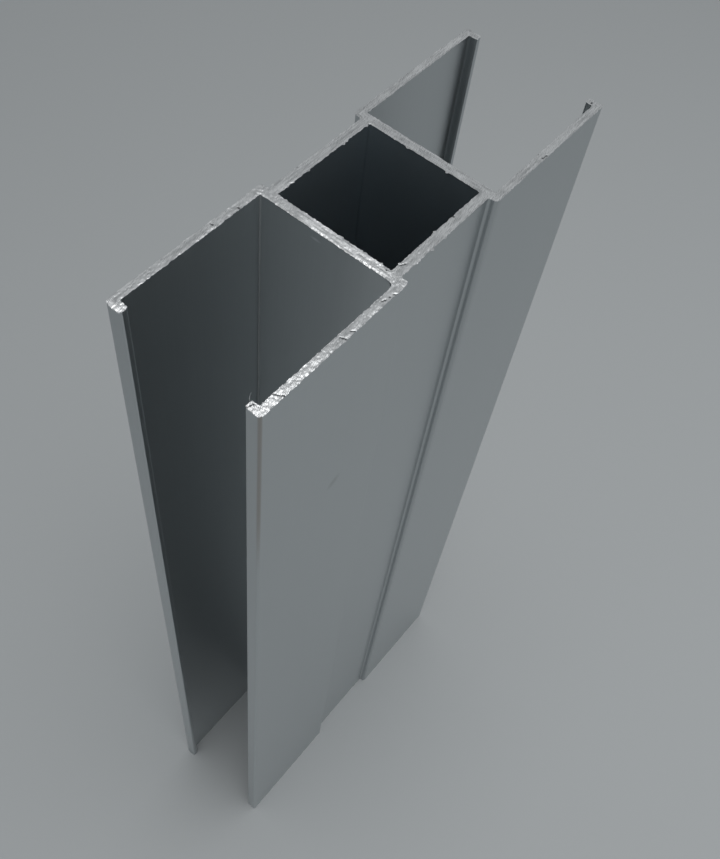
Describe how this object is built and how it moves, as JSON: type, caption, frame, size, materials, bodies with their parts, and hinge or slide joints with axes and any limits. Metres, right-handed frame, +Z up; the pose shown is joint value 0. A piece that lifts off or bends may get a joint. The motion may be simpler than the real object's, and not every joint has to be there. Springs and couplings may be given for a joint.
{
  "type": "aluminium extrusion profile",
  "caption": "Cut length of aluminium extrusion: a box tube with a lipped channel along each side that takes a panel edge, sawn square at the ends.",
  "frame": {"origin": "middle of the lower sawn end, the centre of the bottom of the bounding box", "axes": "+Z up along the extrusion, X across the wide side of the section, Y through its depth with the longer lips at +Y"},
  "size_m": [0.075, 0.025, 0.193],
  "materials": {
    "mill_aluminium": "satin grey as extruded, with faint die lines; bright and rough where it is sawn"
  },
  "bodies": {
    "root": {"extrusion_profile": "mill_aluminium"}
  },
  "joints": []
}
